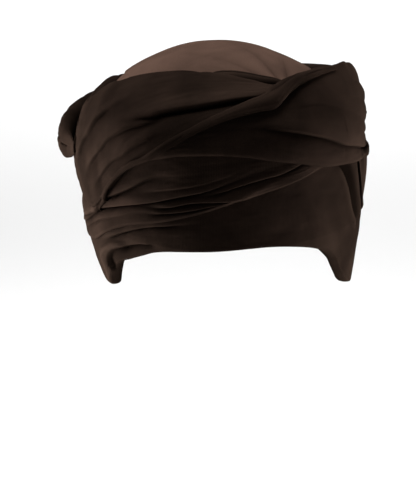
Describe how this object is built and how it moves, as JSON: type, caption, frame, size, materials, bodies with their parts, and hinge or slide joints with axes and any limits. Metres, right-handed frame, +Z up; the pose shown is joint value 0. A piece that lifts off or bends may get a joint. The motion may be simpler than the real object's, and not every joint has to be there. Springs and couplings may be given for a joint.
{
  "type": "turban",
  "caption": "Wound turban of soft brown jersey: a smooth domed crown wrapped by crossing folded bands, with a rolled edge and a bunched roll at the back.",
  "frame": {"origin": "middle of the head opening, level with the front edge on the brow, where the turban sits on a head", "axes": "+Z up through the crown, -Y to the front, +X to the wearer's left, which is on the right seen from the front"},
  "size_m": [0.2135, 0.2533, 0.1587],
  "materials": {
    "crown_jersey": "matte brown knitted jersey, stretched smooth",
    "band_jersey": "matte dark brown knitted jersey",
    "wrap_jersey": "matte brown knitted jersey in soft folds"
  },
  "bodies": {
    "root": {"crown": "crown_jersey", "forehead_band": "band_jersey", "pleated_wrap": "wrap_jersey", "side_tail": "wrap_jersey", "right_wrap": "wrap_jersey", "left_wrap": "wrap_jersey", "rolled_edge": "wrap_jersey", "back_roll": "wrap_jersey"}
  },
  "joints": []
}
